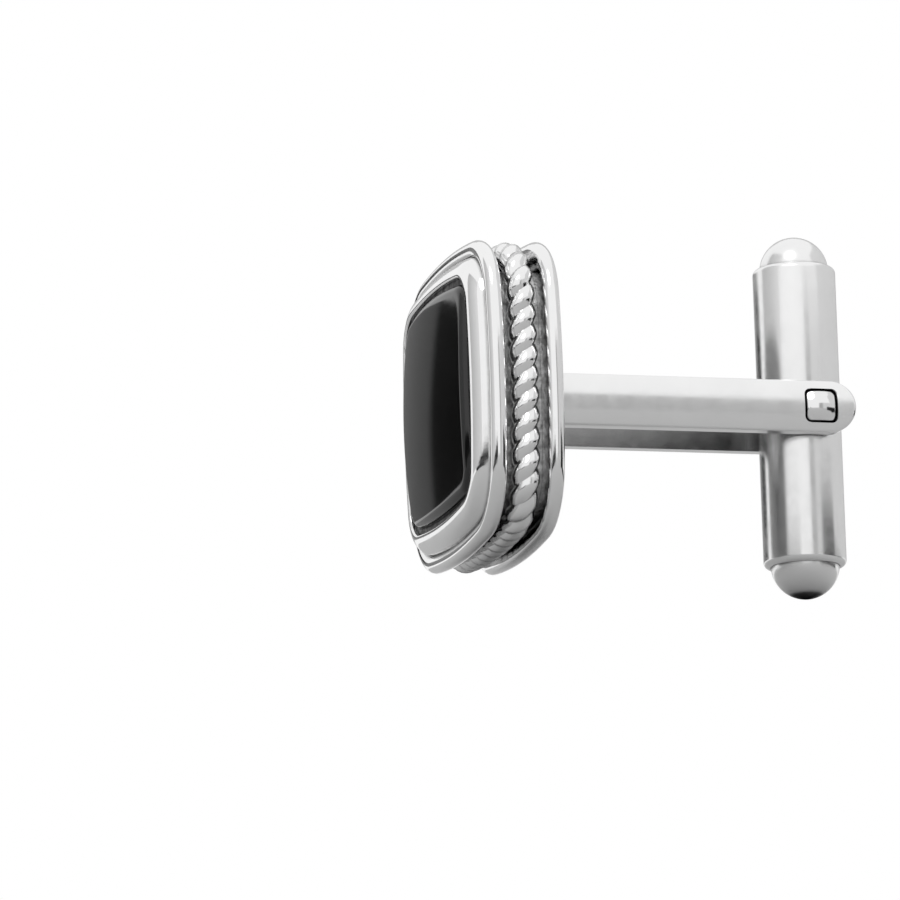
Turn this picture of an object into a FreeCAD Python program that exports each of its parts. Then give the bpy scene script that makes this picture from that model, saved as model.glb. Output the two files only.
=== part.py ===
import FreeCAD, Part
import math
import os

# Cufflink with a square cushion head, a two-armed stem and a swivelling bar.
# Millimetres. The head's flat back lies in the plane Y = 0, its face looks to -Y,
# the stem runs along +Y and the bar stands along Z.

# Cushion outline of the head, at its widest
head_half_width = 8.3
side_radius = 40.5
corner_radius = 3.785

# Back plate with a half-round rim
plate_thickness = 0.87

# Recessed channel that holds the rope, and the band that forms its floor
channel_width = 2.25
channel_depth = 1.6

# Front frame: two rounded mouldings round the stone, as shares of its width and height
frame_width = 2.03
frame_height = 1.6
bead_share = 0.2
bead_height_share = 0.567
flank_height_share = 0.541
groove_share = 0.44
groove_height_share = 0.45
shoulder_share = 0.62
shoulder_height_share = 0.83
crown_share = 0.94
lip_height_share = 0.93
lip_bulge_share = 0.01
lip_bulge_height_share = 0.015

# Stone and its cement
crevice_width = 0.34
crevice_depth = 0.3
seat_width = 0.53
bed_thickness = 0.09
stone_rise = 0.6
stone_dome_radius = 50.0
stone_edge_radius = 0.5
joint_gap = 0.01

# Rope: a bar of two round lobes, twisted into a closed ring
rope_radius = 0.76
rope_groove_depth = 0.18
rope_floor_gap = 0.03
rope_lead = 2.2
points_per_turn = 12

# Stem: a foot let into the back plate and two D-section arms
arm_side_play = 0.05
arm_edge_thickness = 0.8
arm_crown = 0.22
arm_half_height = 1.4
arm_reach = 1.96
arm_edge_radius = 0.12
foot_margin = 0.03
foot_projection = 0.42
foot_corner_radius = 0.3

# Square pivot pin
pin_offset = 15.7
pin_side = 1.7
pin_corner_radius = 0.27
pin_stand_out = 0.155
pin_seat_clearance = 0.01
pin_running_clearance = 0.04

# Swivelling bar
bar_radius = 2.225
bar_eccentricity = 0.2
bar_wall = 0.365
tube_half_length = 8.17
tube_edge_radius = 0.3
plug_sink = 0.12
plug_length = 1.85

# Leaf spring that bears on the pin's flat
spring_margin = 1.2
spring_width = 1.8
spring_thickness = 0.22
spring_bow = 0.7
spring_gap = 0.02

# Outline of the head
side_centre = head_half_width - side_radius
corner_centre = (side_centre + math.sqrt(2 * (side_radius - corner_radius) ** 2 - side_centre ** 2)) / 2
side_half_angle = math.atan2(corner_centre, corner_centre - side_centre)

# Half widths and levels in the head
opening_half_width = head_half_width - frame_width
stone_half_width = opening_half_width - crevice_width
band_inner = stone_half_width - seat_width
channel_floor = head_half_width - channel_depth
channel_front = -plate_thickness - channel_width
frame_front = channel_front - frame_height
stone_back = channel_front - bed_thickness
stone_apex = frame_front - stone_rise
cement_front = frame_front + crevice_depth
rope_half_width = channel_floor + rope_floor_gap + rope_radius
rope_level = -plate_thickness - channel_width / 2

# Widths and lengths of the stem and the bar
arm_inner = bar_radius + arm_side_play
arm_edge = arm_inner + arm_edge_thickness
arm_outer = arm_edge + arm_crown
arm_end = pin_offset + arm_reach
pin_half_length = arm_outer + pin_stand_out
pin_half_diagonal = pin_side / math.sqrt(2) - pin_corner_radius * (math.sqrt(2) - 1)
bar_offset = pin_offset - bar_eccentricity
bore_radius = bar_radius - bar_wall
plug_radius = bore_radius - joint_gap
plug_dome_centre = tube_half_length - plug_sink
plug_inner_end = plug_dome_centre - plug_length
spring_half_length = plug_inner_end - spring_margin

origin = FreeCAD.Vector(0, 0, 0)
along_x = FreeCAD.Vector(1, 0, 0)
along_y = FreeCAD.Vector(0, 1, 0)
along_z = FreeCAD.Vector(0, 0, 1)


def polar(centre_x, centre_z, radius, angle, level):
    """Point at an angle round a centre, in the plane Y = level."""
    x = centre_x + radius * math.cos(angle)
    z = centre_z + radius * math.sin(angle)
    return FreeCAD.Vector(x, level, z)


def quarter_turns(shape):
    """The shape and its copies at each quarter turn about the stem's axis."""
    copies = []
    for quarter in range(4):
        copy = shape.copy()
        copy.rotate(origin, along_y, -90 * quarter)
        copies.append(copy)
    return copies


def cushion_arcs(half_width):
    """Centre, radius and angles of one side and one corner of the outline at a half width."""
    inset = head_half_width - half_width
    side = (side_centre, 0, side_radius - inset, -side_half_angle, side_half_angle)
    corner_end = math.pi / 2 - side_half_angle
    corner = (corner_centre, corner_centre, corner_radius - inset, side_half_angle, corner_end)
    return side, corner


def cushion_wire(half_width, level):
    edges = []
    for centre_x, centre_z, radius, start, end in cushion_arcs(half_width):
        first = polar(centre_x, centre_z, radius, start, level)
        middle = polar(centre_x, centre_z, radius, (start + end) / 2, level)
        last = polar(centre_x, centre_z, radius, end, level)
        edges += quarter_turns(Part.Arc(first, middle, last).toShape())
    return Part.Wire(Part.__sortEdges__(edges))


def cushion_prism(half_width, back, front):
    face = Part.Face(cushion_wire(half_width, back))
    return face.extrude(along_y * (front - back))


def cushion_ring(section):
    """Carry a closed section, drawn in the XY plane at the +X side, round the cushion outline."""
    spans = []
    for centre_x, centre_z, radius, start, end in cushion_arcs(head_half_width):
        span = section.copy()
        span.translate(FreeCAD.Vector(centre_x + radius - head_half_width, 0, centre_z))
        hinge = FreeCAD.Vector(centre_x, 0, centre_z)
        span.rotate(hinge, along_y, -math.degrees(start))
        spans += quarter_turns(span.revolve(hinge, along_y, -math.degrees(end - start)))
    return spans[0].multiFuse(spans[1:]).removeSplitter().Solids[0]


def at(point):
    return FreeCAD.Vector(point[0], point[1], 0)


def line(first, second):
    return Part.makeLine(at(first), at(second))


def arc(first, middle, last):
    return Part.Arc(at(first), at(middle), at(last)).toShape()


def section_face(edges):
    return Part.Face(Part.Wire(edges))


def polygon_section(corners):
    closed = corners + corners[:1]
    return section_face([line(a, b) for a, b in zip(closed, closed[1:])])


def frame_point(width_share, height_share):
    """Point of the frame's section at shares of its width, from outside, and height, from behind."""
    return (head_half_width - width_share * frame_width, channel_front - height_share * frame_height)


def bezel_frame():
    """Two rounded mouldings: the outer bead, the groove, and the inner bead that rolls into the opening."""
    bead_back = frame_point(bead_share, 0)
    bead_crest = frame_point(0, bead_height_share / 2)
    bead_front = frame_point(bead_share, bead_height_share)
    bead_flank = frame_point((bead_share + groove_share) / 2, flank_height_share)
    groove = frame_point(groove_share, groove_height_share)
    shoulder = frame_point(shoulder_share, shoulder_height_share)
    crown = frame_point(crown_share, 1)
    lip_middle = frame_point(
        (crown_share + 1) / 2 + lip_bulge_share, (lip_height_share + 1) / 2 + lip_bulge_height_share
    )
    lip = frame_point(1, lip_height_share)
    back_inner = frame_point(1, 0)
    return cushion_ring(section_face([
        arc(bead_back, bead_crest, bead_front),
        arc(bead_front, bead_flank, groove),
        arc(groove, shoulder, crown),
        arc(crown, lip_middle, lip),
        line(lip, back_inner),
        line(back_inner, bead_back),
    ]))


def onyx_stone():
    prism = cushion_prism(stone_half_width, stone_back, stone_apex - stone_edge_radius)
    ball_centre = FreeCAD.Vector(0, stone_apex + stone_dome_radius, 0)
    ball = Part.makeSphere(stone_dome_radius, ball_centre, along_z, -90, 90, 360)
    stone = prism.common(ball).Solids[0]
    dome = min(stone.Faces, key=lambda face: face.BoundBox.YMin)
    return stone.makeFillet(stone_edge_radius, dome.Edges).Solids[0]


def stone_cement():
    wall = stone_half_width + joint_gap
    outside = opening_half_width - joint_gap
    return cushion_ring(polygon_section([
        (band_inner, channel_front),
        (outside, channel_front),
        (outside, cement_front),
        (wall, cement_front),
        (wall, stone_back),
        (band_inner, stone_back),
    ]))


def channel_band():
    return cushion_ring(polygon_section([
        (band_inner, channel_front),
        (channel_floor, channel_front),
        (channel_floor, -plate_thickness),
        (band_inner, -plate_thickness),
    ]))


def foot_prism(margin, back, front):
    """Upright block with rounded corners, on the stem's axis."""
    half_width = arm_outer + margin
    half_height = arm_half_height + margin
    corner = FreeCAD.Vector(-half_width, back, -half_height)
    block = Part.makeBox(2 * half_width, front - back, 2 * half_height, corner)
    upright = [edge for edge in block.Edges if abs(edge.tangentAt(edge.FirstParameter).y) > 0.5]
    return block.makeFillet(foot_corner_radius, upright)


def back_plate():
    inner = head_half_width - plate_thickness / 2
    rim = section_face([
        arc((inner, -plate_thickness), (head_half_width, -plate_thickness / 2), (inner, 0)),
        line((inner, 0), (band_inner, 0)),
        line((band_inner, 0), (band_inner, -plate_thickness)),
        line((band_inner, -plate_thickness), (inner, -plate_thickness)),
    ])
    middle = cushion_prism(band_inner, -plate_thickness, 0)
    plate = cushion_ring(rim).fuse(middle).removeSplitter()
    slot = foot_prism(foot_margin + joint_gap, -2 * plate_thickness, plate_thickness)
    return plate.cut(slot).Solids[0]


def rope_arcs():
    """The eight arcs of the rope's centre line, each with its quarter of the outline."""
    return [(quarter, *span) for quarter in range(4) for span in cushion_arcs(rope_half_width)]


def rope_length():
    return sum(radius * (end - start) for _, _, _, radius, start, end in rope_arcs())


def rope_turns():
    return round(rope_length() / rope_lead)


def rope_point(turn, along_lobes, across_lobes):
    """Point of the rope's cross-section after some turns of twist, in axes that turn with the lobes."""
    distance = rope_length() * (turn / rope_turns() % 1)
    for quarter, centre_x, centre_z, radius, start, end in rope_arcs():
        span = radius * (end - start)
        if distance <= span:
            break
        distance -= span
    twist = 2 * math.pi * turn
    outward = along_lobes * math.cos(twist) - across_lobes * math.sin(twist)
    forward = along_lobes * math.sin(twist) + across_lobes * math.cos(twist)
    point = polar(centre_x, centre_z, radius + outward, start + distance / radius, rope_level + forward)
    return FreeCAD.Rotation(along_y, -90 * quarter).multVec(point)


def rope_line(turn, reach):
    """One turn of the line at a reach from the rope's centre, on the crest of a lobe."""
    curve = Part.BSplineCurve()
    curve.interpolate([
        rope_point(turn + step / points_per_turn, reach, 0) for step in range(points_per_turn + 1)
    ])
    return Part.Wire(curve.toShape())


def rope_section(turn):
    notch = rope_radius - rope_groove_depth
    first = rope_point(turn, 0, -notch)
    last = rope_point(turn, 0, notch)
    front = Part.Arc(first, rope_point(turn, rope_radius, 0), last)
    back = Part.Arc(last, rope_point(turn, -rope_radius, 0), first)
    return Part.Wire([front.toShape(), back.toShape()])


def rope_ring():
    """Twisted bar in the channel, swept one turn at a time and sewn into a closed skin."""
    faces = []
    for turn in range(rope_turns()):
        sweep = Part.BRepOffsetAPI.MakePipeShell(rope_line(turn, 0))
        sweep.setAuxiliarySpine(rope_line(turn, rope_radius), True, 0)
        sweep.add(rope_section(turn))
        sweep.build()
        faces += sweep.shape().Faces
    shell = Part.Shell(faces)
    shell.sewShape()
    return Part.Solid(shell)


def stem_arm(side):
    top = FreeCAD.Vector(side * arm_edge, foot_projection, arm_half_height)
    crown = FreeCAD.Vector(side * arm_outer, foot_projection, 0)
    bottom = FreeCAD.Vector(side * arm_edge, foot_projection, -arm_half_height)
    inner_bottom = FreeCAD.Vector(side * arm_inner, foot_projection, -arm_half_height)
    inner_top = FreeCAD.Vector(side * arm_inner, foot_projection, arm_half_height)
    outline = Part.Wire([
        Part.Arc(top, crown, bottom).toShape(),
        Part.makeLine(bottom, inner_bottom),
        Part.makeLine(inner_bottom, inner_top),
        Part.makeLine(inner_top, top),
    ])
    arm = Part.Face(outline).extrude(along_y * (arm_end - foot_projection))
    arm = arm.common(round_end_slab()).removeSplitter().Solids[0]
    crown_face = max(arm.Faces, key=lambda face: side * face.CenterOfMass.x)
    rim = [edge for edge in crown_face.Edges if edge.BoundBox.YMax > foot_projection]
    return arm.makeFillet(arm_edge_radius, rim)


def round_end_slab():
    """Slab across both arms with a half-round far end."""
    centre = arm_end - arm_half_height
    corner = FreeCAD.Vector(-2 * arm_outer, 0, -arm_half_height)
    block = Part.makeBox(4 * arm_outer, centre, 2 * arm_half_height, corner)
    start = FreeCAD.Vector(-2 * arm_outer, centre, 0)
    return block.fuse(Part.makeCylinder(arm_half_height, 4 * arm_outer, start, along_x)).removeSplitter()


def stem_fork():
    fork = foot_prism(foot_margin, -plate_thickness, foot_projection)
    for side in (1, -1):
        fork = fork.fuse(stem_arm(side))
    return fork.cut(square_bar(pin_seat_clearance)).removeSplitter().Solids[0]


def square_bar(clearance):
    """Round-cornered square bar on the pivot's axis, longer than the pin, with a clearance all round it."""
    half = pin_side / 2 + clearance
    corner = FreeCAD.Vector(-2 * pin_half_length, pin_offset - half, -half)
    bar = Part.makeBox(4 * pin_half_length, 2 * half, 2 * half, corner)
    lengthwise = [edge for edge in bar.Edges if abs(edge.tangentAt(edge.FirstParameter).x) > 0.5]
    return bar.makeFillet(pin_corner_radius + clearance, lengthwise)


def pivot_pin():
    centre = FreeCAD.Vector(0, pin_offset, 0)
    return square_bar(0).common(Part.makeSphere(pin_half_length, centre)).Solids[0]


def toggle_tube():
    bottom = FreeCAD.Vector(0, bar_offset, -tube_half_length)
    outside = Part.makeCylinder(bar_radius, 2 * tube_half_length, bottom)
    ends = [edge for edge in outside.Edges if edge.Closed]
    outside = outside.makeFillet(tube_edge_radius, ends)
    bore = Part.makeCylinder(bore_radius, 2 * tube_half_length, bottom)
    hole_radius = pin_half_diagonal + pin_running_clearance
    start = FreeCAD.Vector(-2 * bar_radius, pin_offset, 0)
    cross_hole = Part.makeCylinder(hole_radius, 4 * bar_radius, start, along_x)
    return outside.cut(bore).cut(cross_hole).Solids[0]


def end_plug(end):
    inner = FreeCAD.Vector(0, bar_offset, end * plug_inner_end)
    shank = Part.makeCylinder(plug_radius, plug_dome_centre - plug_inner_end, inner, along_z * end)
    centre = FreeCAD.Vector(0, bar_offset, end * plug_dome_centre)
    dome = Part.makeSphere(plug_radius, centre, along_z * end, 0, 90, 360)
    return shank.fuse(dome).removeSplitter().Solids[0]


def detent_spring():
    """Bowed leaf whose middle bears on the pin's inner flat."""
    top = pin_offset - pin_side / 2 - spring_gap
    left = -spring_width / 2
    ends = []
    for depth in (0, spring_thickness):
        first = FreeCAD.Vector(left, top - spring_bow - depth, -spring_half_length)
        middle = FreeCAD.Vector(left, top - depth, 0)
        last = FreeCAD.Vector(left, top - spring_bow - depth, spring_half_length)
        ends.append((first, last, Part.Arc(first, middle, last).toShape()))
    (upper_first, upper_last, upper), (lower_first, lower_last, lower) = ends
    outline = Part.Wire(Part.__sortEdges__([
        upper,
        Part.makeLine(upper_last, lower_last),
        lower,
        Part.makeLine(lower_first, upper_first),
    ]))
    return Part.Face(outline).extrude(along_x * spring_width)


pieces = {
    "bezel_frame": bezel_frame(),
    "onyx_stone": onyx_stone(),
    "stone_cement": stone_cement(),
    "channel_band": channel_band(),
    "rope_ring": rope_ring(),
    "back_plate": back_plate(),
    "stem_fork": stem_fork(),
    "pivot_pin": pivot_pin(),
    "toggle_tube": toggle_tube(),
    "end_plug_upper": end_plug(1),
    "end_plug_lower": end_plug(-1),
    "detent_spring": detent_spring(),
}

os.makedirs("parts", exist_ok=True)
for name, shape in pieces.items():
    shape.exportStep(f"parts/{name}.step")
    print(name, shape.ShapeType, shape.isValid(), round(shape.Volume, 2), len(shape.Faces))
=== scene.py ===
import bmesh
import bpy
import math
from mathutils import Matrix, Vector


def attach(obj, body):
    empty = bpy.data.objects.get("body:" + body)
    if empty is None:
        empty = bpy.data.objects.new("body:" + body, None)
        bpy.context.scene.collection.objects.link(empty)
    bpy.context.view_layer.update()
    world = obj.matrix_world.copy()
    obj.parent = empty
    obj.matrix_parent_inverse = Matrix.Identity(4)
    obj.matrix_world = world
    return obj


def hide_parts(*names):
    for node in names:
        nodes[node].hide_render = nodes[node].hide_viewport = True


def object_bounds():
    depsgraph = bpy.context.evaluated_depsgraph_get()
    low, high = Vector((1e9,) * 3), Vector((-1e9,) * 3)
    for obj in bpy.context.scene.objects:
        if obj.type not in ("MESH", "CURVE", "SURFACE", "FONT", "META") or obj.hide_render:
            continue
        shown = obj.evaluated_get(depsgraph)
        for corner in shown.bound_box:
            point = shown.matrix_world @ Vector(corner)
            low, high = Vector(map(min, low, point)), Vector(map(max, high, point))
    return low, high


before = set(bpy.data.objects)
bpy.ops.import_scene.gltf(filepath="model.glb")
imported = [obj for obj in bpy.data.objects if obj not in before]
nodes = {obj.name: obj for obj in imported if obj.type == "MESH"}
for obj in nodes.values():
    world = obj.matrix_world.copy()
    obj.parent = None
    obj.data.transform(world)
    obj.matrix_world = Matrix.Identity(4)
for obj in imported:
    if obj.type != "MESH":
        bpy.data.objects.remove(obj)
cad_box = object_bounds()
scene = bpy.context.scene

# Sizes of the cufflink in millimetres, the same as in the CAD.
# The head's flat back lies in the plane Y = 0 and its face looks to -Y.
# The stem runs along +Y and the bar along Z.

# Cushion outline of the head, at its widest
head_half_width = 8.3
side_radius = 40.5
corner_radius = 3.785

# Back plate, recessed channel and front frame
plate_thickness = 0.87
channel_width = 2.25
channel_depth = 1.6
frame_width = 2.03
frame_height = 1.6
bead_share = 0.2
bead_height_share = 0.567
flank_height_share = 0.541
groove_share = 0.44
groove_height_share = 0.45
shoulder_share = 0.62
shoulder_height_share = 0.83
crown_share = 0.94
lip_height_share = 0.93
lip_bulge_share = 0.01
lip_bulge_height_share = 0.015

# Stone and its cement
crevice_width = 0.34
crevice_depth = 0.3
seat_width = 0.53
bed_thickness = 0.09
stone_rise = 0.6
stone_dome_radius = 50.0
stone_edge_radius = 0.5
joint_gap = 0.01

# Rope
rope_radius = 0.76
rope_groove_depth = 0.18
rope_floor_gap = 0.03
rope_lead = 2.2

# Stem and pivot pin
arm_side_play = 0.05
arm_edge_thickness = 0.8
arm_crown = 0.22
arm_half_height = 1.4
arm_reach = 1.96
arm_edge_radius = 0.12
foot_margin = 0.03
foot_projection = 0.42
foot_corner_radius = 0.3
pin_offset = 15.7
pin_side = 1.7
pin_corner_radius = 0.27
pin_stand_out = 0.155
pin_seat_clearance = 0.01
pin_running_clearance = 0.04

# Swivelling bar
bar_radius = 2.225
bar_eccentricity = 0.2
bar_wall = 0.365
tube_half_length = 8.17
tube_edge_radius = 0.3
plug_sink = 0.12
plug_length = 1.85

# Small details that only the picture shows, in millimetres too
arm_root_depth = 0.2
pin_edge_radius = 0.16
pin_dome_radius = 1.6
pin_hole_chamfer = 0.07
# Widths over which the painted shade on the fork's inner faces and on the head's back fades in
inside_shade_blend = 0.05
back_shade_blend = 0.03
# Reach of the painted shade in crevice hollows
crevice_shade_reach = 0.3
polish_mark_depth = 0.02
grain_depth = 0.08

# Fineness of the meshes: points along an arc, and along one turn of the rope or the bar
side_points = 14
corner_points = 14
arc_points = 12
turn_points = 72
rope_turn_points = 24

# Sharp edges, the rings beside the bar's cross hole as a share of its radius, and units
crease_angle = math.radians(40)
hole_zone_share = 1.5
millimetres_per_metre = 1000
merge_distance = 1e-5 / millimetres_per_metre

# Derived sizes
side_centre = head_half_width - side_radius
corner_centre = (side_centre + math.sqrt(2 * (side_radius - corner_radius) ** 2 - side_centre ** 2)) / 2
side_half_angle = math.atan2(corner_centre, corner_centre - side_centre)
opening_half_width = head_half_width - frame_width
stone_half_width = opening_half_width - crevice_width
band_inner = stone_half_width - seat_width
channel_floor = head_half_width - channel_depth
channel_front = -plate_thickness - channel_width
frame_front = channel_front - frame_height
stone_back = channel_front - bed_thickness
stone_apex = frame_front - stone_rise
cement_front = frame_front + crevice_depth
rope_half_width = channel_floor + rope_floor_gap + rope_radius
rope_level = -plate_thickness - channel_width / 2
arm_inner = bar_radius + arm_side_play
arm_outer = arm_inner + arm_edge_thickness + arm_crown
arm_end_centre = pin_offset + arm_reach - arm_half_height
crown_radius = (arm_half_height ** 2 + arm_crown ** 2) / (2 * arm_crown)
pin_half_length = arm_outer + pin_stand_out
pin_half_diagonal = pin_side / math.sqrt(2) - pin_corner_radius * (math.sqrt(2) - 1)
bar_offset = pin_offset - bar_eccentricity
bore_radius = bar_radius - bar_wall
plug_radius = bore_radius - joint_gap
plug_dome_centre = tube_half_length - plug_sink
plug_inner_end = plug_dome_centre - plug_length


def skin(rows, closed=False):
    """Points and faces of a skin through loops: a closed ring of them, or a run with capped ends."""
    count = len(rows[0])
    points = [point for row in rows for point in row]
    faces = []
    for row in range(len(rows) if closed else len(rows) - 1):
        here = row * count
        there = (row + 1) % len(rows) * count
        for column in range(count):
            after = (column + 1) % count
            faces.append((here + column, here + after, there + after, there + column))
    if not closed:
        faces.append(tuple(range(count)))
        faces.append(tuple(range(len(points) - count, len(points))))
    return points, faces


def skin_mesh(name, skins):
    """Mesh in metres from skins in millimetres, shaded smooth except at creases."""
    shape = bmesh.new()
    for points, faces in skins:
        corners = [shape.verts.new(Vector(point) / millimetres_per_metre) for point in points]
        for face in faces:
            shape.faces.new([corners[index] for index in face])
    bmesh.ops.remove_doubles(shape, verts=shape.verts, dist=merge_distance)
    bmesh.ops.recalc_face_normals(shape, faces=shape.faces)
    mesh = bpy.data.meshes.new(name)
    shape.to_mesh(mesh)
    shape.free()
    mesh.shade_smooth()
    mesh.set_sharp_from_angle(angle=crease_angle)
    return mesh


def add_piece(node, body, mesh, material):
    """Show the mesh in place of a CAD node, riding on its body."""
    mesh.materials.clear()
    mesh.materials.append(material)
    piece = bpy.data.objects.new(f"{node}_fine", mesh)
    scene.collection.objects.link(piece)
    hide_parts(node)
    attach(piece, body)


def through(first, middle, last, steps=arc_points):
    """Points of the arc through three section points, without the last one."""
    a, b, c = Vector(first), Vector(middle), Vector(last)
    scale = 2 * (a.x * (b.y - c.y) + b.x * (c.y - a.y) + c.x * (a.y - b.y))
    centre_x = (a.dot(a) * (b.y - c.y) + b.dot(b) * (c.y - a.y) + c.dot(c) * (a.y - b.y)) / scale
    centre_y = (a.dot(a) * (c.x - b.x) + b.dot(b) * (a.x - c.x) + c.dot(c) * (b.x - a.x)) / scale
    radius = math.hypot(a.x - centre_x, a.y - centre_y)
    start = math.atan2(a.y - centre_y, a.x - centre_x)
    turn = (math.atan2(c.y - centre_y, c.x - centre_x) - start) % (2 * math.pi)
    if scale < 0:
        turn -= 2 * math.pi
    angles = [start + turn * step / steps for step in range(steps)]
    return [(centre_x + radius * math.cos(angle), centre_y + radius * math.sin(angle)) for angle in angles]


def quarter_turned(x, z, quarter):
    for _ in range(quarter):
        x, z = -z, x
    return x, z


def cushion_arcs(half_width):
    """Centre, radius and angles of one side and one corner of the outline at a half width."""
    inset = head_half_width - half_width
    side = (side_centre, 0, side_radius - inset, -side_half_angle, side_half_angle)
    corner_end = math.pi / 2 - side_half_angle
    corner = (corner_centre, corner_centre, corner_radius - inset, side_half_angle, corner_end)
    return side, corner


def cushion_loop(half_width, level):
    loop = []
    for quarter in range(4):
        for arc, steps in zip(cushion_arcs(half_width), (side_points, corner_points)):
            centre_x, centre_z, radius, start, end = arc
            for step in range(steps):
                angle = start + (end - start) * step / steps
                along = centre_x + radius * math.cos(angle)
                x, z = quarter_turned(along, centre_z + radius * math.sin(angle), quarter)
                loop.append(Vector((x, level, z)))
    return loop


def cushion_ring(section):
    return skin([cushion_loop(half_width, level) for half_width, level in section], closed=True)


def frame_point(width_share, height_share):
    return (head_half_width - width_share * frame_width, channel_front - height_share * frame_height)


def bezel_skin():
    """Two rounded mouldings: the outer bead, the groove, and the inner bead that rolls into the opening."""
    bead_front = frame_point(bead_share, bead_height_share)
    groove = frame_point(groove_share, groove_height_share)
    crown = frame_point(crown_share, 1)
    lip = frame_point(1, lip_height_share)
    bead_flank = frame_point((bead_share + groove_share) / 2, flank_height_share)
    lip_middle = frame_point(
        (crown_share + 1) / 2 + lip_bulge_share, (lip_height_share + 1) / 2 + lip_bulge_height_share
    )
    bead_side = frame_point(0, bead_height_share / 2)
    section = through(frame_point(bead_share, 0), bead_side, bead_front, 2 * arc_points)
    section += through(bead_front, bead_flank, groove)
    section += through(groove, frame_point(shoulder_share, shoulder_height_share), crown, 2 * arc_points)
    section += through(crown, lip_middle, lip)
    return cushion_ring(section + [lip, frame_point(1, 0)])


def dome_level(point):
    return stone_apex + stone_dome_radius - math.sqrt(stone_dome_radius ** 2 - point.x ** 2 - point.z ** 2)


def stone_edge_loop(share):
    """Loop on the stone's rounded edge, from its wall at share 0 to its dome at share 1."""
    loop = []
    inside = cushion_loop(stone_half_width - stone_edge_radius, 0)
    for centre, wall in zip(inside, cushion_loop(stone_half_width, 0)):
        inner_radius = stone_dome_radius - stone_edge_radius
        reach = math.hypot(centre.x, centre.z)
        angle = share * math.acos(reach / inner_radius)
        level = stone_apex + stone_dome_radius - math.sqrt(inner_radius ** 2 - reach ** 2)
        point = centre + (wall - centre) * math.cos(angle)
        point.y = level - stone_edge_radius * math.sin(angle)
        loop.append(point)
    return loop


def stone_skin():
    rows = [cushion_loop(stone_half_width, stone_back)]
    rows += [stone_edge_loop(step / arc_points) for step in range(arc_points + 1)]
    rim = rows[-1]
    for step in range(1, 2 * arc_points):
        scale = 1 - step / (2 * arc_points)
        loop = [Vector((point.x * scale, 0, point.z * scale)) for point in rim]
        for point in loop:
            point.y = dome_level(point)
        rows.append(loop)
    return skin(rows)


def cement_skin():
    wall = stone_half_width + joint_gap
    outside = opening_half_width - joint_gap
    return cushion_ring([
        (band_inner, channel_front),
        (outside, channel_front),
        (outside, cement_front),
        (wall, cement_front),
        (wall, stone_back),
        (band_inner, stone_back),
    ])


def band_skin():
    return cushion_ring([
        (band_inner, channel_front),
        (channel_floor, channel_front),
        (channel_floor, -plate_thickness),
        (band_inner, -plate_thickness),
    ])


def rope_section():
    """Points of the rope's two-lobed section, with the lobes along the first axis."""
    notch = rope_radius - rope_groove_depth
    lobe = through((0, -notch), (rope_radius, 0), (0, notch), rope_turn_points // 2)
    return lobe + [(-x, -y) for x, y in lobe]


def rope_skin():
    arcs = [(quarter, *arc) for quarter in range(4) for arc in cushion_arcs(rope_half_width)]
    spans = [radius * (end - start) for _, _, _, radius, start, end in arcs]
    turns = round(sum(spans) / rope_lead)
    section = rope_section()
    rows = []
    for step in range(turns * rope_turn_points):
        twist = 2 * math.pi * step / rope_turn_points
        distance = sum(spans) * step / (turns * rope_turn_points)
        arc_number = 0
        while distance > spans[arc_number]:
            distance -= spans[arc_number]
            arc_number += 1
        quarter, centre_x, centre_z, radius, start, _ = arcs[arc_number]
        angle = start + distance / radius
        loop = []
        for along_lobes, across_lobes in section:
            outward = along_lobes * math.cos(twist) - across_lobes * math.sin(twist)
            forward = along_lobes * math.sin(twist) + across_lobes * math.cos(twist)
            along = centre_x + (radius + outward) * math.cos(angle)
            x, z = quarter_turned(along, centre_z + (radius + outward) * math.sin(angle), quarter)
            loop.append(Vector((x, rope_level + forward, z)))
        rows.append(loop)
    return skin(rows, closed=True)


def box_reach(half_a, half_b, radius, angle):
    """Distance from the middle of a round-cornered rectangle to its edge, at an angle."""
    along_a = abs(math.cos(angle))
    along_b = abs(math.sin(angle))
    reach = half_a / along_a if half_a * along_b < half_b * along_a else half_b / along_b
    corner_a = half_a - radius
    corner_b = half_b - radius
    if reach * along_a > corner_a and reach * along_b > corner_b:
        middle = corner_a * along_a + corner_b * along_b
        reach = middle + math.sqrt(middle ** 2 - corner_a ** 2 - corner_b ** 2 + radius ** 2)
    return reach


def foot_loop(margin, level, angles):
    loop = []
    for angle in angles:
        reach = box_reach(arm_outer + margin, arm_half_height + margin, foot_corner_radius, angle)
        loop.append(Vector((reach * math.cos(angle), level, reach * math.sin(angle))))
    return loop


def plate_skin():
    """Plate with a half-round rim and a slot for the stem's foot."""
    inner = head_half_width - plate_thickness / 2
    rim_middle = (head_half_width, -plate_thickness / 2)
    edge = through((inner, -plate_thickness), rim_middle, (inner, 0), 2 * arc_points)
    rows = [cushion_loop(half_width, level) for half_width, level in edge + [(inner, 0)]]
    angles = [math.atan2(point.z, point.x) for point in rows[0]]
    for level in (0, -plate_thickness):
        rows.append(foot_loop(foot_margin + joint_gap, level, angles))
    return skin(rows, closed=True)


def foot_skin():
    angles = [2 * math.pi * step / turn_points for step in range(turn_points)]
    return skin([foot_loop(foot_margin, level, angles) for level in (-plate_thickness, foot_projection)])


def arm_outline(inset):
    """Points (y, z) round an arm's side face: bottom, round end, top, and root."""
    half = arm_half_height - inset
    root = foot_projection - arm_root_depth + inset
    length = arm_end_centre - root
    steps = 4 * arc_points
    shares = [step / steps for step in range(steps)]
    bottom = [(root + length * share, -half) for share in shares]
    turn = [math.pi * share for share in shares]
    end = [(arm_end_centre + half * math.sin(angle), -half * math.cos(angle)) for angle in turn]
    top = [(arm_end_centre - length * share, half) for share in shares]
    back = [(root, half * (1 - 2 * share)) for share in shares[::4]]
    return bottom + end + top + back


def crown_level(z):
    return arm_outer - crown_radius + math.sqrt(crown_radius ** 2 - z ** 2)


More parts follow.
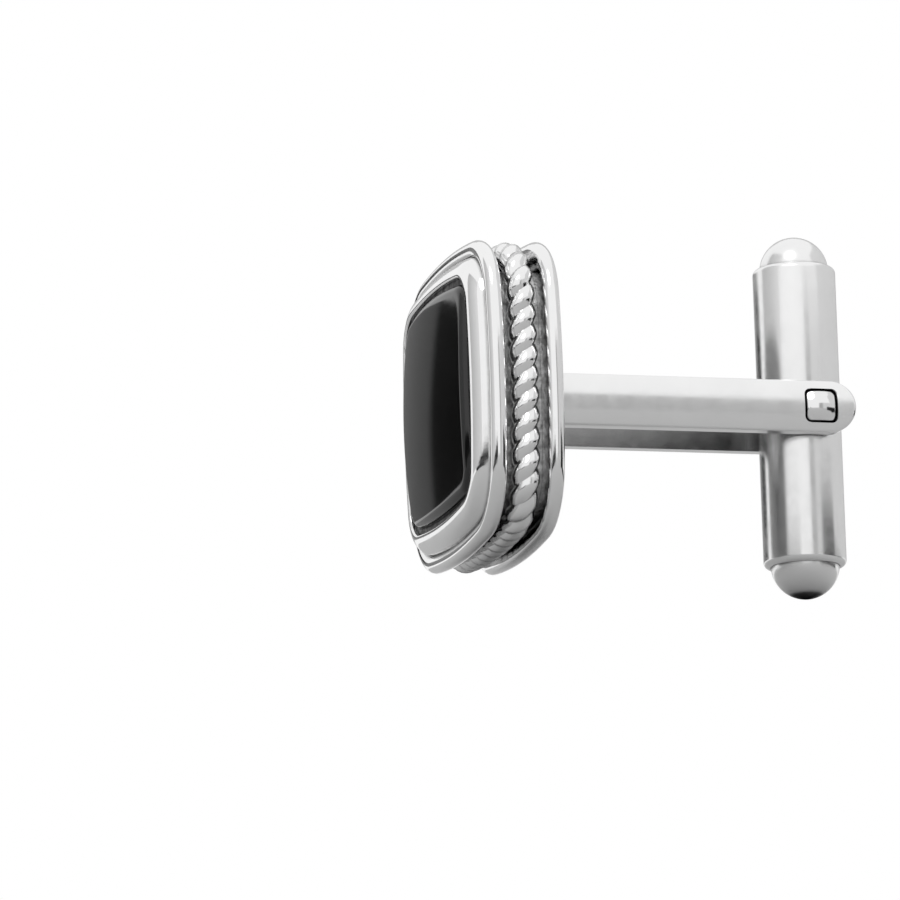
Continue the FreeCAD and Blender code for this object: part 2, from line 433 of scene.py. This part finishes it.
def hole_outline(clearance):
    """Points (y, z) round the pin's square hole, each on the ray to a point of the arm's outline."""
    half = pin_side / 2 + clearance
    outline = []
    for y, z in arm_outline(0):
        angle = math.atan2(z, y - pin_offset)
        reach = box_reach(half, half, pin_corner_radius + clearance, angle)
        outline.append((pin_offset + reach * math.cos(angle), reach * math.sin(angle)))
    return outline


def arm_skin(side):
    """D-section arm with a round end, a rounded rim and a chamfered square hole for the pin."""
    hole = hole_outline(pin_seat_clearance)
    mouth = hole_outline(pin_seat_clearance + pin_hole_chamfer)
    rows = [[Vector((side * (crown_level(z) - 2 * pin_hole_chamfer), y, z)) for y, z in hole]]
    rim = arm_outline(arm_edge_radius)
    for step in range(2 * arc_points):
        share = step / (2 * arc_points)
        flat = [(a[0] + (b[0] - a[0]) * share, a[1] + (b[1] - a[1]) * share) for a, b in zip(mouth, rim)]
        rows.append([Vector((side * crown_level(z), y, z)) for y, z in flat])
    for step in range(arc_points // 2 + 1):
        angle = math.pi * step / arc_points
        drop = arm_edge_radius * (1 - math.cos(angle))
        flat = arm_outline(arm_edge_radius * (1 - math.sin(angle)))
        rows.append([Vector((side * (crown_level(z) - drop), y, z)) for y, z in flat])
    for flat in (arm_outline(0), hole):
        rows.append([Vector((side * arm_inner, y, z)) for y, z in flat])
    return skin(rows, closed=True)


def pin_loop(scale):
    loop = []
    for step in range(turn_points):
        angle = 2 * math.pi * step / turn_points
        reach = scale * box_reach(pin_side / 2, pin_side / 2, pin_corner_radius, angle)
        loop.append(Vector((0, pin_offset + reach * math.cos(angle), reach * math.sin(angle))))
    return loop


def pin_skin():
    """Square pin with domed ends whose edges are rounded, twice as deep as wide."""
    end = []
    rounded_from = 1 - 2 * pin_edge_radius / pin_side
    for step in range(1, arc_points + 1):
        loop = pin_loop(rounded_from * step / arc_points)
        for point in loop:
            reach_squared = (point.y - pin_offset) ** 2 + point.z ** 2
            drop = pin_dome_radius - math.sqrt(pin_dome_radius ** 2 - reach_squared)
            point.x = pin_half_length - drop
        end.append(loop)
    dome_edge = end[-1]
    for step in range(1, arc_points // 2 + 1):
        angle = math.pi * step / arc_points
        scale = rounded_from + (1 - rounded_from) * math.sin(angle)
        loop = pin_loop(scale)
        for point, start in zip(loop, dome_edge):
            point.x = start.x - 2 * pin_edge_radius * (1 - math.cos(angle))
        end.append(loop)
    other_end = [[Vector((-point.x, point.y, point.z)) for point in loop] for loop in reversed(end)]
    return skin(end + other_end)


def bar_loop(radius, level):
    """Round loop of the bar; the half step keeps its points inside the CAD's box."""
    loop = []
    for step in range(turn_points):
        angle = 2 * math.pi * (step + 0.5) / turn_points
        loop.append(Vector((radius * math.cos(angle), bar_offset + radius * math.sin(angle), level)))
    return loop


def tube_mesh():
    """Tube with rounded ends and a cross hole for the pin."""
    flat = bar_radius - tube_edge_radius
    upper = []
    for step in range(arc_points // 2 + 1):
        angle = math.pi * step / arc_points
        radius = flat + tube_edge_radius * math.cos(angle)
        upper.append((radius, tube_half_length - tube_edge_radius * (1 - math.sin(angle))))
    hole_radius = pin_half_diagonal + pin_running_clearance
    near_hole = hole_zone_share * hole_radius
    section = [(radius, -level) for radius, level in reversed(upper)]
    section += [(bar_radius, -near_hole), (bar_radius, near_hole)]
    section += upper + [(bore_radius, tube_half_length), (bore_radius, near_hole)]
    section += [(bore_radius, -near_hole), (bore_radius, -tube_half_length)]
    tube = skin_mesh("tube", [skin([bar_loop(radius, level) for radius, level in section], closed=True)])
    angles = [2 * math.pi * step / turn_points for step in range(turn_points)]
    circle = [(pin_offset + hole_radius * math.cos(a), hole_radius * math.sin(a)) for a in angles]
    drill = skin([[Vector((side * 2 * bar_radius, y, z)) for y, z in circle] for side in (-1, 1)])
    return cut_mesh(tube, skin_mesh("drill", [drill]))


def cut_mesh(body_mesh, tool_mesh):
    """The first mesh with the second one taken out of it."""
    body = bpy.data.objects.new("body", body_mesh)
    tool = bpy.data.objects.new("tool", tool_mesh)
    scene.collection.objects.link(body)
    scene.collection.objects.link(tool)
    cut = body.modifiers.new("cut", "BOOLEAN")
    cut.operation = "DIFFERENCE"
    cut.object = tool
    result = bpy.data.meshes.new_from_object(body.evaluated_get(bpy.context.evaluated_depsgraph_get()))
    bpy.data.objects.remove(body)
    bpy.data.objects.remove(tool)
    result.shade_smooth()
    result.set_sharp_from_angle(angle=crease_angle)
    return result


def plug_skin(end):
    """Domed plug of the bar's upper or lower end."""
    rows = []
    for step in range(1, 2 * arc_points + 1):
        angle = math.pi / 2 * (1 - step / (2 * arc_points))
        level = plug_dome_centre + plug_radius * math.sin(angle)
        rows.append(bar_loop(plug_radius * math.cos(angle), end * level))
    rows.append(bar_loop(plug_radius, end * plug_inner_end))
    return skin(rows)


def new_material(name):
    """Empty node material with one Principled shader; returns the material, its tree and the shader."""
    material = bpy.data.materials.new(name)
    material.use_nodes = True
    tree = material.node_tree
    tree.nodes.clear()
    output = tree.nodes.new("ShaderNodeOutputMaterial")
    shader = tree.nodes.new("ShaderNodeBsdfPrincipled")
    tree.links.new(shader.outputs["BSDF"], output.inputs["Surface"])
    return material, tree, shader


def object_coordinates(tree, scale=(1, 1, 1)):
    """Object coordinates stretched by a scale, for a texture fixed to the piece."""
    coordinates = tree.nodes.new("ShaderNodeTexCoord")
    mapping = tree.nodes.new("ShaderNodeMapping")
    mapping.inputs["Scale"].default_value = scale
    tree.links.new(coordinates.outputs["Object"], mapping.inputs["Vector"])
    return mapping.outputs["Vector"]


def noise(tree, vector, scale, detail=3.0, roughness=0.55):
    """Noise whose scale is in cells to a metre."""
    texture = tree.nodes.new("ShaderNodeTexNoise")
    texture.inputs["Scale"].default_value = scale
    texture.inputs["Detail"].default_value = detail
    texture.inputs["Roughness"].default_value = roughness
    tree.links.new(vector, texture.inputs["Vector"])
    return texture.outputs["Fac"]


def grey(level):
    return (level, level, level, 1)


def ramp(tree, value, stops):
    """Colour ramp with (place, grey level) stops."""
    node = tree.nodes.new("ShaderNodeValToRGB")
    elements = node.color_ramp.elements
    while len(elements) < len(stops):
        elements.new(0.5)
    for element, (place, level) in zip(elements, stops):
        element.position = place
        element.color = grey(level)
    tree.links.new(value, node.inputs["Fac"])
    return node.outputs["Color"]


def add_bump(tree, shader, height, strength, depth):
    """Bump whose depth is in millimetres."""
    bump = tree.nodes.new("ShaderNodeBump")
    bump.inputs["Strength"].default_value = strength
    bump.inputs["Distance"].default_value = depth / millimetres_per_metre
    tree.links.new(height, bump.inputs["Height"])
    tree.links.new(bump.outputs["Normal"], shader.inputs["Normal"])


def blend(tree, share, first, second, target):
    """Feed a socket from the first colour at share 0 to the second at share 1."""
    mix = tree.nodes.new("ShaderNodeMix")
    mix.data_type = "RGBA"
    tree.links.new(share, mix.inputs["Factor"])
    colours = {socket.identifier: socket for socket in [*mix.inputs, *mix.outputs]}
    tree.links.new(first, colours["A_Color"])
    tree.links.new(second, colours["B_Color"])
    tree.links.new(colours["Result_Color"], target)


def share_between(tree, value, start, end):
    """0 where the value is at the start, 1 where it is at the end."""
    node = tree.nodes.new("ShaderNodeMapRange")
    node.inputs["From Min"].default_value = start
    node.inputs["From Max"].default_value = end
    tree.links.new(value, node.inputs["Value"])
    return node.outputs["Result"]


def crevice_shade(tree):
    """Share of painted shade: 1 in narrow crevice hollows that ambient occlusion finds, 0 on open surfaces.
    """
    shade = tree.nodes.new("ShaderNodeAmbientOcclusion")
    shade.samples = 8
    shade.inputs["Distance"].default_value = crevice_shade_reach / millimetres_per_metre
    return share_between(tree, shade.outputs["AO"], start=0.82, end=0.45)


def millimetres(tree):
    """The piece's own X, Y and Z in millimetres."""
    split = tree.nodes.new("ShaderNodeSeparateXYZ")
    enlarged = object_coordinates(tree, [millimetres_per_metre] * 3)
    tree.links.new(enlarged, split.inputs["Vector"])
    return split.outputs


def silver(name, tone, crevice_shade_tone, rough_low, rough_high, bump_strength, grain=(1, 1, 1)):
    """Silver whose narrow hollows carry painted shade, partly tarnished too, from ambient occlusion, with
    fine wear in the gloss and thin polishing marks along a grain.
    """
    material, tree, shader = new_material(name)
    shader.inputs["Metallic"].default_value = 1.0
    broad = noise(tree, object_coordinates(tree), scale=260.0)
    clean = ramp(tree, broad, [(0.3, tone * 0.95), (0.7, tone)])
    specks = noise(tree, object_coordinates(tree), scale=2400.0)
    # Painted shade, partly tarnished, for crevice hollows: a darker speckled tone blended in by the
    # occlusion share
    painted_shade_tone = ramp(tree, specks, [(0.3, crevice_shade_tone * 0.5), (0.7, crevice_shade_tone)])
    blend(tree, crevice_shade(tree), clean, painted_shade_tone, shader.inputs["Base Color"])
    fine = noise(tree, object_coordinates(tree), scale=1400.0)
    tree.links.new(ramp(tree, fine, [(0.35, rough_low), (0.7, rough_high)]), shader.inputs["Roughness"])
    marks = noise(tree, object_coordinates(tree, grain), scale=3000.0, detail=2.0)
    add_bump(tree, shader, marks, bump_strength, polish_mark_depth)
    return material


def base_shader(material):
    return next(node for node in material.node_tree.nodes if node.type == "BSDF_PRINCIPLED")


def paint_inside_shade(material):
    """Painted shade on the fork's inner faces, deeper towards the bar."""
    tree = material.node_tree
    colour = base_shader(material).inputs["Base Color"]
    place = millimetres(tree)
    across = tree.nodes.new("ShaderNodeMath")
    across.operation = "ABSOLUTE"
    tree.links.new(place["X"], across.inputs[0])
    inside = share_between(tree, across.outputs[0], arm_inner + inside_shade_blend, arm_inner)
    along = share_between(tree, place["Y"], 0, pin_offset)
    # Painted shade tones of the inner faces, darker towards the bar
    painted_shade_tone = ramp(tree, along, [(0.1, 0.74), (0.5, 0.62), (0.8, 0.40)])
    blend(tree, inside, colour.links[0].from_socket, painted_shade_tone, colour)
    return material


def dull_shaded_back(material):
    """The head's flat back is left rougher, and painted shade darkens its colour, inside its polished rim.
    """
    tree = material.node_tree
    back = share_between(tree, millimetres(tree)["Y"], -back_shade_blend, 0)
    grain = noise(tree, object_coordinates(tree, (0.06, 1, 1)), scale=5000.0)
    # Base colour: painted shade on the back; roughness: a matt back
    for socket, low, high in (("Base Color", 0.27, 0.35), ("Roughness", 0.28, 0.36)):
        target = base_shader(material).inputs[socket]
        dull_and_shaded = ramp(tree, grain, [(0.3, low), (0.7, high)])
        blend(tree, back, target.links[0].from_socket, dull_and_shaded, target)
    return material


def oxidised_silver():
    material, tree, shader = new_material("oxidised_silver")
    shader.inputs["Metallic"].default_value = 1.0
    vector = object_coordinates(tree)
    blotches = noise(tree, vector, scale=1500.0, detail=5.0, roughness=0.7)
    tones = ramp(tree, blotches, [(0.3, 0.22), (0.5, 0.48), (0.7, 0.78)])
    tree.links.new(tones, shader.inputs["Base Color"])
    shader.inputs["Roughness"].default_value = 0.42
    pits = noise(tree, vector, scale=2600.0, detail=4.0)
    add_bump(tree, shader, pits, strength=0.9, depth=grain_depth)
    return material


def setting_cement():
    material, tree, shader = new_material("setting_cement")
    vector = object_coordinates(tree)
    grains = noise(tree, vector, scale=2600.0, detail=4.0, roughness=0.7)
    tones = ramp(tree, grains, [(0.35, 0.03), (0.55, 0.12), (0.75, 0.40)])
    tree.links.new(tones, shader.inputs["Base Color"])
    shader.inputs["Roughness"].default_value = 0.7
    add_bump(tree, shader, grains, strength=1.0, depth=grain_depth)
    return material


def black_onyx():
    material, tree, shader = new_material("black_onyx")
    vector = object_coordinates(tree)
    cloud = noise(tree, vector, scale=300.0, detail=4.0)
    tree.links.new(ramp(tree, cloud, [(0.3, 0.003), (0.75, 0.008)]), shader.inputs["Base Color"])
    gloss = noise(tree, vector, scale=5000.0)
    tree.links.new(ramp(tree, gloss, [(0.3, 0.05), (0.7, 0.09)]), shader.inputs["Roughness"])
    shader.inputs["IOR"].default_value = 1.54
    return material


def spring_steel():
    material, tree, shader = new_material("spring_steel")
    shader.inputs["Metallic"].default_value = 1.0
    grain = noise(tree, object_coordinates(tree, (1, 1, 0.02)), scale=4000.0)
    tree.links.new(ramp(tree, grain, [(0.3, 0.42), (0.7, 0.55)]), shader.inputs["Base Color"])
    shader.inputs["Roughness"].default_value = 0.35
    return material


# Each silver's crevice tone is the painted shade of its crevice hollows, partly tarnished
polished = silver(
    "polished_silver", tone=0.88, crevice_shade_tone=0.40, rough_low=0.07, rough_high=0.13, bump_strength=0.04
)
rope_finish = silver(
    "rope_silver", tone=0.88, crevice_shade_tone=0.12, rough_low=0.08, rough_high=0.15, bump_strength=0.05
)
satin = silver(
    "bar_silver", tone=0.88, crevice_shade_tone=0.25, rough_low=0.18, rough_high=0.26, bump_strength=0.12,
    grain=(1, 1, 0.03),
)
# The stem's silver carries painted shade on the fork's inner faces
stem_silver_shaded = paint_inside_shade(silver(
    "stem_silver", tone=0.88, crevice_shade_tone=0.12, rough_low=0.15, rough_high=0.23, bump_strength=0.08,
    grain=(1, 0.04, 1),
))
# The plate's silver carries painted shade on the head's flat back
plate_silver_shaded = dull_shaded_back(silver(
    "plate_silver", tone=0.88, crevice_shade_tone=0.20, rough_low=0.07, rough_high=0.13, bump_strength=0.04
))
pin_finish = silver(
    "pin_silver", tone=0.86, crevice_shade_tone=0.12, rough_low=0.08, rough_high=0.14, bump_strength=0.05
)

add_piece("bezel_frame", "head", skin_mesh("bezel", [bezel_skin()]), polished)
add_piece("onyx_stone", "head", skin_mesh("stone", [stone_skin()]), black_onyx())
add_piece("stone_cement", "head", skin_mesh("cement", [cement_skin()]), setting_cement())
add_piece("channel_band", "head", skin_mesh("band", [band_skin()]), oxidised_silver())
add_piece("rope_ring", "head", skin_mesh("rope", [rope_skin()]), rope_finish)
add_piece("back_plate", "head", skin_mesh("plate", [plate_skin()]), plate_silver_shaded)
add_piece("stem_fork", "head", skin_mesh("fork", [foot_skin(), arm_skin(1), arm_skin(-1)]), stem_silver_shaded)
add_piece("pivot_pin", "head", skin_mesh("pin", [pin_skin()]), pin_finish)
add_piece("toggle_tube", "toggle", tube_mesh(), satin)
add_piece("end_plug_upper", "toggle", skin_mesh("upper_plug", [plug_skin(1)]), satin)
add_piece("end_plug_lower", "toggle", skin_mesh("lower_plug", [plug_skin(-1)]), satin)

nodes["detent_spring"].data.materials.clear()
nodes["detent_spring"].data.materials.append(spring_steel())


def stage_plane(name, centre, facing, width, height, material):
    """Flat card of the studio, facing a point."""
    half_width = width / 2
    half_height = height / 2
    corners = [(-half_width, -half_height, 0), (half_width, -half_height, 0)]
    corners += [(half_width, half_height, 0), (-half_width, half_height, 0)]
    mesh = bpy.data.meshes.new(name)
    mesh.from_pydata(corners, [], [(0, 1, 2, 3)])
    mesh.materials.append(material)
    card = bpy.data.objects.new(name, mesh)
    scene.collection.objects.link(card)
    turn = (Vector(facing) - Vector(centre)).to_track_quat("Z", "Y")
    card.matrix_world = Matrix.Translation(centre) @ turn.to_matrix().to_4x4()
    return card


def floor_material():
    """Pale matt floor that lets the camera through from below."""
    material, tree, shader = new_material("floor_paper")
    shader.inputs["Base Color"].default_value = grey(0.45)
    shader.inputs["Roughness"].default_value = 0.9
    side = tree.nodes.new("ShaderNodeNewGeometry")
    clear = tree.nodes.new("ShaderNodeBsdfTransparent")
    mix = tree.nodes.new("ShaderNodeMixShader")
    output = next(node for node in tree.nodes if node.type == "OUTPUT_MATERIAL")
    tree.links.new(side.outputs["Backfacing"], mix.inputs["Fac"])
    tree.links.new(shader.outputs["BSDF"], mix.inputs[1])
    tree.links.new(clear.outputs["BSDF"], mix.inputs[2])
    tree.links.new(mix.outputs["Shader"], output.inputs["Surface"])
    return material


def paper_material(name, stops):
    """Matt paper whose grey changes from one side of the card to the other."""
    material, tree, shader = new_material(name)
    coordinates = tree.nodes.new("ShaderNodeTexCoord")
    split = tree.nodes.new("ShaderNodeSeparateXYZ")
    tree.links.new(coordinates.outputs["Generated"], split.inputs["Vector"])
    tree.links.new(ramp(tree, split.outputs["X"], stops), shader.inputs["Base Color"])
    shader.inputs["Roughness"].default_value = 1.0
    shader.inputs["Specular IOR Level"].default_value = 0.0
    return material


def studio_card(name, bearing, distance, spread, low, high, stops):
    """Upright card that only the object's gloss sees, at a bearing in degrees from +X towards +Y."""
    angle = math.radians(bearing)
    middle = (low + high) / 2
    centre = (distance * math.cos(angle), distance * math.sin(angle), middle)
    width = 2 * distance * math.tan(math.radians(spread / 2))
    card = stage_plane(name, centre, (0, 0, middle), width, high - low, paper_material(name, stops))
    card.visible_camera = False
    card.visible_diffuse = False
    card.visible_shadow = False
    card.visible_transmission = False


# Studio, in metres
floor_level = cad_box[0].z
floor_size = 3.0
room = 0.6
stage_plane("floor", (0, 0, floor_level), (0, 0, 1), floor_size, floor_size, floor_material())

# The stone mirrors a card that fades from grey to black, the mouldings and the pin low black ones,
# the stem a grey one beside the camera, the bar's sides two pale ones, and the top edges one far behind
black = [(0.0, 0.01), (1.0, 0.02)]
fading = [(0.0, 0.0), (0.50, 0.035), (0.56, 0.27), (1.0, 0.36)]
half_pale = [(0.60, 0.85), (0.72, 0.52)]
white_to_pale = [(0.0, 0.9), (1.0, 0.6)]
pale = [(0.0, 0.8), (1.0, 0.85)]
light_grey = [(0.0, 0.65), (1.0, 0.65)]
studio_card("card_far_side", bearing=-160, distance=room, spread=44, low=0.06, high=0.185, stops=fading)
studio_card("card_behind", bearing=80, distance=0.07, spread=40, low=floor_level, high=-0.003, stops=black)
studio_card("card_low_rear", bearing=58, distance=0.1, spread=34, low=floor_level, high=0.007, stops=black)
studio_card("card_low_front", bearing=-60, distance=0.3, spread=70, low=floor_level, high=0.014, stops=black)
studio_card("card_by_camera", bearing=28, distance=room, spread=44, low=-0.01, high=0.20, stops=half_pale)
studio_card("card_front", bearing=-90, distance=room, spread=60, low=0.03, high=0.7, stops=white_to_pale)
studio_card("card_rear", bearing=95, distance=room, spread=90, low=0.05, high=0.7, stops=pale)
studio_card("card_far_back", bearing=161, distance=room, spread=44, low=0.05, high=0.55, stops=light_grey)


def studio_world():
    """Even white surround that lights the object and is the picture's background."""
    world = bpy.data.worlds.new("studio")
    world.use_nodes = True
    tree = world.node_tree
    tree.nodes.clear()
    output = tree.nodes.new("ShaderNodeOutputWorld")
    surround = tree.nodes.new("ShaderNodeBackground")
    surround.inputs["Color"].default_value = grey(1)
    surround.inputs["Strength"].default_value = 1.0
    tree.links.new(surround.outputs["Background"], output.inputs["Surface"])
    scene.world = world


def soft_lamp(name, place, aim, size, power):
    data = bpy.data.lights.new(name, "AREA")
    data.shape = "DISK"
    data.size = size
    data.energy = power
    lamp = bpy.data.objects.new(name, data)
    lamp.location = place
    lamp.rotation_euler = (Vector(aim) - Vector(place)).to_track_quat("-Z", "Y").to_euler()
    scene.collection.objects.link(lamp)


studio_world()
soft_lamp("key_lamp", place=(0.45, -0.25, 0.55), aim=(0, 0.006, 0), size=0.35, power=0.8)


def photo_camera(azimuth, elevation, roll, distance, picture, pixels_per_mm, origin_x, origin_y):
    """Long-lens camera that shows the origin at these pixels of a square picture, before its roll."""
    around = math.radians(azimuth)
    above = math.radians(elevation)
    level = math.cos(above)
    back = Vector((math.sin(around) * level, -math.cos(around) * level, math.sin(above)))
    right = Vector((math.cos(around), math.sin(around), 0))
    up = back.cross(right)
    turn = Matrix((right, up, back)).transposed().to_4x4() @ Matrix.Rotation(math.radians(roll), 4, "Z")
    metres_per_pixel = 1 / (millimetres_per_metre * pixels_per_mm)
    aim = (right * (picture / 2 - origin_x) + up * (origin_y - picture / 2)) * metres_per_pixel
    data = bpy.data.cameras.new("photo_camera")
    data.lens = distance / metres_per_pixel * data.sensor_width / picture
    camera = bpy.data.objects.new("photo_camera", data)
    scene.collection.objects.link(camera)
    camera.matrix_world = Matrix.Translation(aim + back * distance) @ turn
    scene.camera = camera


photo_camera(
    azimuth=74.1,
    elevation=-12.0,
    roll=-1.8,
    distance=0.48,
    picture=900,
    pixels_per_mm=18.8,
    origin_x=523.0,
    origin_y=412.3,
)
scene.view_settings.view_transform = "Standard"
